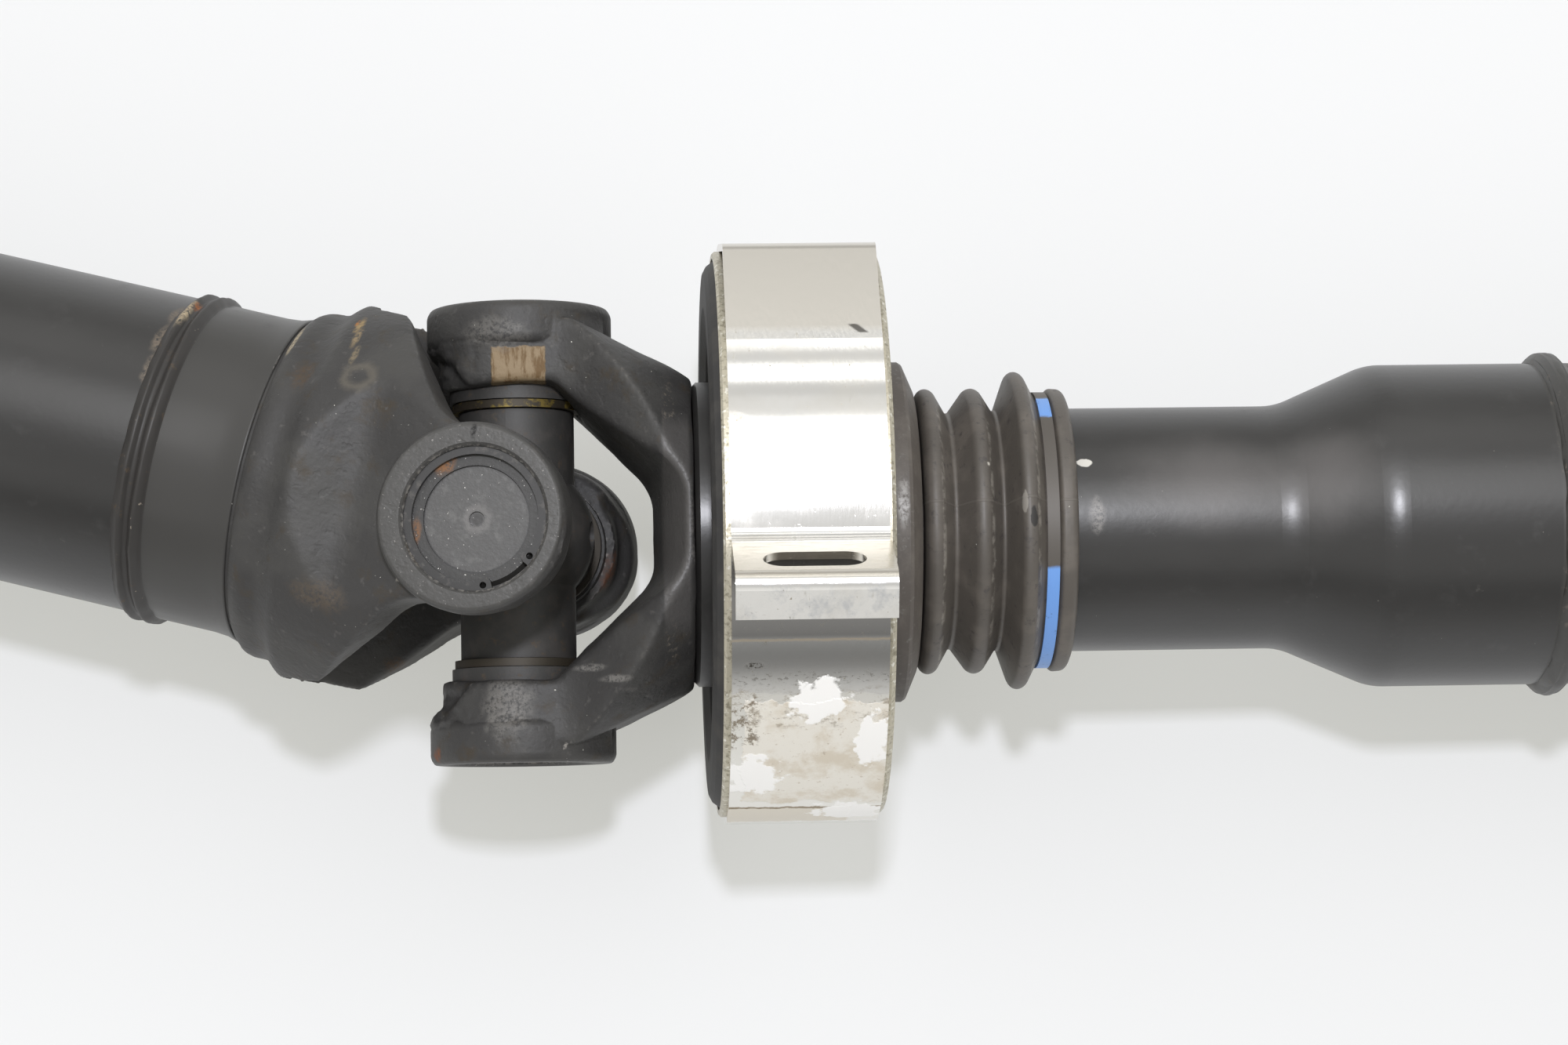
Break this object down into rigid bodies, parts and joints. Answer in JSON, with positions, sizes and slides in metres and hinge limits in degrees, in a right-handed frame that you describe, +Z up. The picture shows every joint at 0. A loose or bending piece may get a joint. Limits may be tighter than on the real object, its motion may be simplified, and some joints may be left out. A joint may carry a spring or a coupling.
{
  "type": "driveshaft",
  "caption": "Two-piece propeller shaft with a yoked cross joint, a rubber-hung centre bearing in a slotted bracket, a splined slip tube under a bellows boot, and a bolted flange at each end.",
  "frame": {"origin": "on the floor, below the middle of the part's box", "axes": "+Z up from the floor the shaft lies on, +X along the front shaft as seen from above, towards its flange"},
  "size_m": [0.8112, 0.1908, 0.1426],
  "materials": {
    "black_steel": "satin black paint over forged and drawn steel",
    "bare_steel": "ground bearing steel",
    "zinc_sheet": "bright zinc-plated pressed sheet",
    "dull_zinc": "dull yellowed zinc",
    "boot_rubber": "dull dark brown-grey rubber",
    "mount_rubber": "dull black rubber",
    "yellow_seal": "yellow-passivated seal shell",
    "cup_steel": "black oxide steel, oiled",
    "spring_steel": "black spring steel",
    "clamp_blue": "worn pale blue band"
  },
  "bodies": {
    "stub_shaft": {"stub_yoke": "black_steel", "stub_dust_shield": "black_steel", "bearing_inner_race": "bare_steel", "bearing_circlip": "spring_steel", "dust_cap": "black_steel", "boot": "boot_rubber", "stub_cup_back": "cup_steel", "stub_cup_front": "cup_steel", "stub_snap_rings": "spring_steel"},
    "cross": {"cross": "cup_steel", "stub_seal_back": "yellow_seal", "stub_seal_front": "yellow_seal", "rear_seal_top": "yellow_seal", "rear_seal_bottom": "yellow_seal", "stub_needle_rollers": "bare_steel", "rear_needle_rollers": "bare_steel"},
    "rear_shaft": {"rear_yoke": "black_steel", "rear_tube": "black_steel", "rear_flange": "black_steel", "rear_cup_top": "cup_steel", "rear_cup_bottom": "cup_steel", "rear_snap_rings": "spring_steel"},
    "front_shaft": {"slip_tube": "black_steel", "spline_plug": "black_steel", "front_tube": "black_steel", "front_flange": "black_steel", "boot_clamp": "clamp_blue"},
    "centre_bearing": {"bearing_outer_race": "bare_steel", "bearing_balls": "bare_steel", "ball_cage": "bare_steel", "bearing_seal_rear": "mount_rubber", "bearing_seal_front": "mount_rubber", "bearing_housing": "dull_zinc", "rubber_mount": "mount_rubber", "mount_ring": "dull_zinc", "bracket_upper": "zinc_sheet", "bracket_lower": "zinc_sheet"}
  },
  "joints": [
    {"name": "cross_pivot", "type": "hinge", "parent": "stub_shaft", "child": "cross", "pos_m": [-0.09579, -0.03285, 0.0657], "axis": [0.0079, 0.9816, 0.1906], "range_deg": [-10, 29]},
    {"name": "rear_yoke_pivot", "type": "hinge", "parent": "cross", "child": "rear_shaft", "pos_m": [-0.09579, -0.03285, 0.0657], "axis": [-0.1222, -0.1883, 0.9745], "range_deg": [-5, 34]},
    {"name": "bearing_turn", "type": "hinge", "parent": "stub_shaft", "child": "centre_bearing", "pos_m": [-0.03584, -0.03285, 0.06321], "axis": [0.9991, 0, -0.0415], "continuous": true},
    {"name": "spline_slip", "type": "slide", "parent": "stub_shaft", "child": "front_shaft", "axis": [0.9991, 0, -0.0415], "range_m": [-0.012, 0.02], "deforming": ["boot"]}
  ]
}
